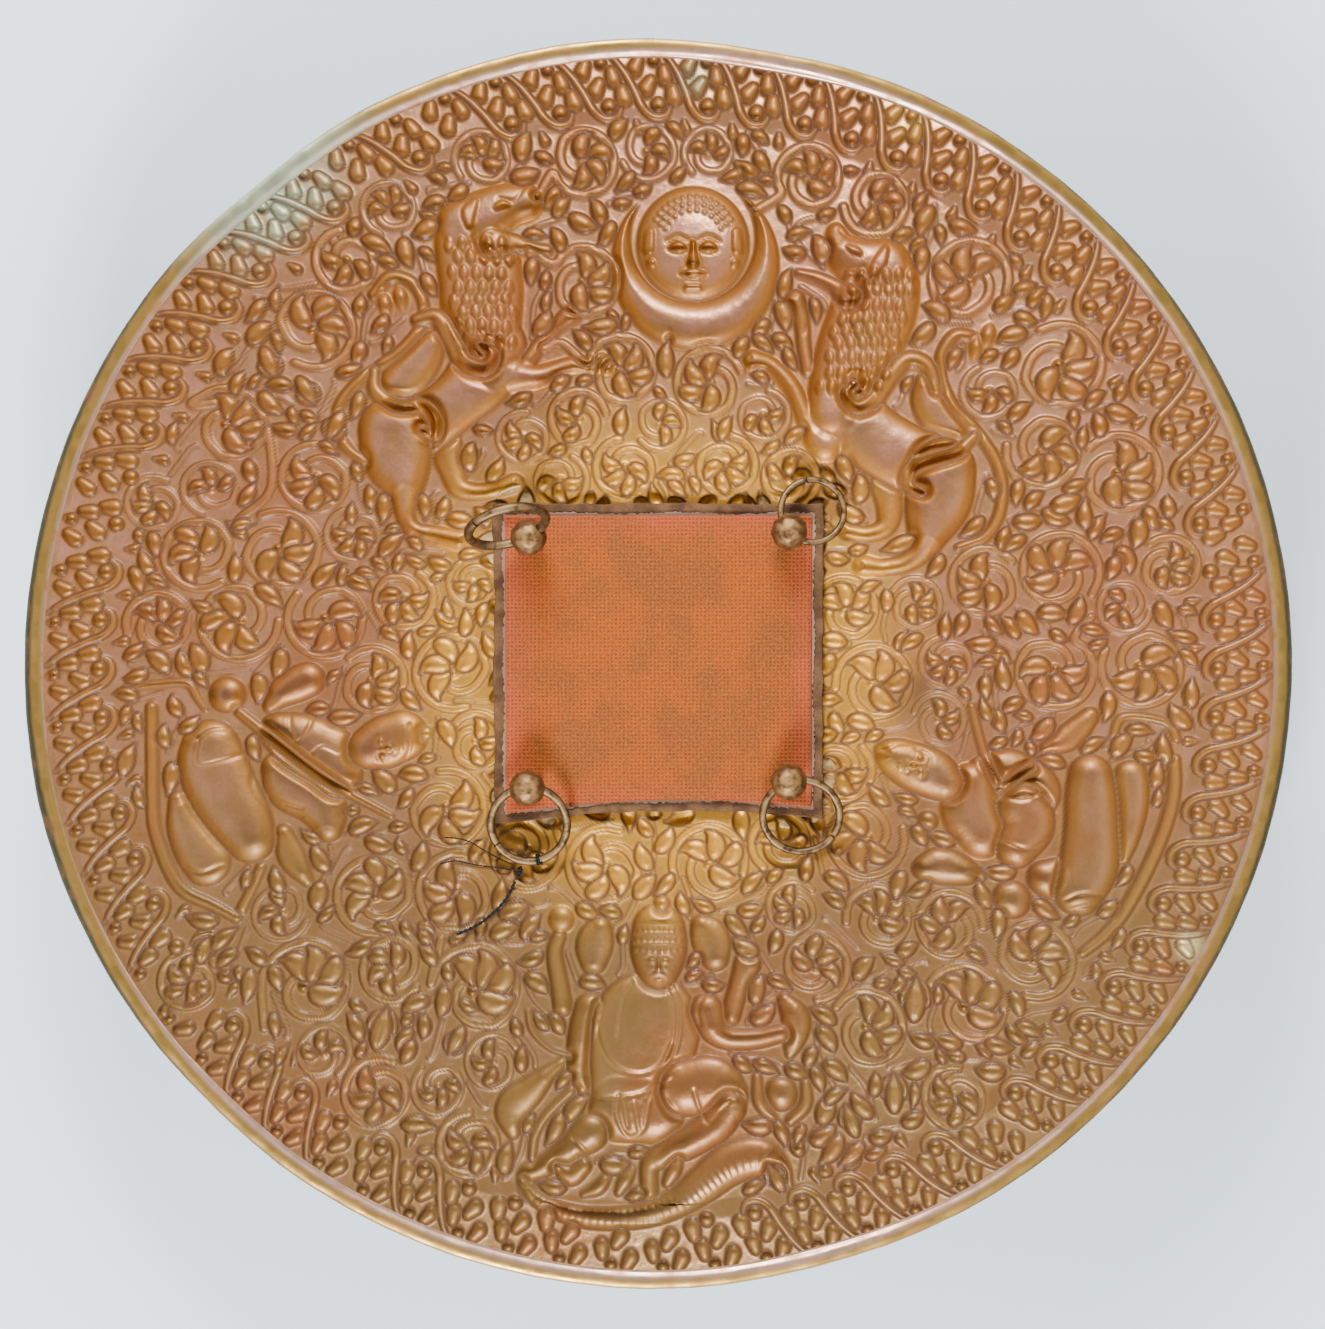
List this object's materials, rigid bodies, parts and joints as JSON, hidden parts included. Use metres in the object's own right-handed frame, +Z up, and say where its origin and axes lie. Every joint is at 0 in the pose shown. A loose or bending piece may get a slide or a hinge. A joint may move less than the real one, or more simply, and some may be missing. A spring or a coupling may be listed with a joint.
{
  "type": "dhal shield",
  "caption": "Round dhal of embossed copper sheet, hollow side up, with a raised border, a red cloth pad on leather and ball-headed bolts that hold loose wire rings.",
  "frame": {"origin": "middle of the shield's outline, at the level of the bolts' cut ends that it lies on", "axes": "+Z up, square to the shield's edge and towards its hollow side; +Y towards the crescent; +X to the right when the hollow side is seen"},
  "size_m": [0.5628, 0.5576, 0.08],
  "materials": {
    "embossed_copper": "embossed sheet copper, pinkish on the ground, golden brown in the hollows, dark in the outlines",
    "dark_leather": "old dry leather, grey brown, frayed at its cut edge",
    "red_cloth": "faded red cotton, plain weave, brighter red along its edges",
    "bolt_bronze": "turned bronze with a dark olive patina, worn bright on top",
    "boss_bronze": "cast bronze domes, rubbed bright on their tops",
    "ring_wire": "bent bronze wire with a dark patina, worn bright along its upper side",
    "black_thread": "black twisted cotton thread, loose at its ends"
  },
  "bodies": {
    "root": {"shield_plate": "embossed_copper", "leather_backing": "dark_leather", "cloth_pad": "red_cloth", "bolt_upper_left": "bolt_bronze", "bolt_upper_right": "bolt_bronze", "bolt_lower_left": "bolt_bronze", "bolt_lower_right": "bolt_bronze", "boss_upper_left": "boss_bronze", "boss_upper_right": "boss_bronze", "boss_lower_left": "boss_bronze", "boss_lower_right": "boss_bronze", "ring_upper_left": "ring_wire", "ring_upper_right": "ring_wire", "ring_lower_left": "ring_wire", "ring_lower_right": "ring_wire", "thread_knot": "black_thread", "thread_tail": "black_thread", "thread_end_lower": "black_thread", "thread_end_upper": "black_thread"}
  },
  "joints": []
}
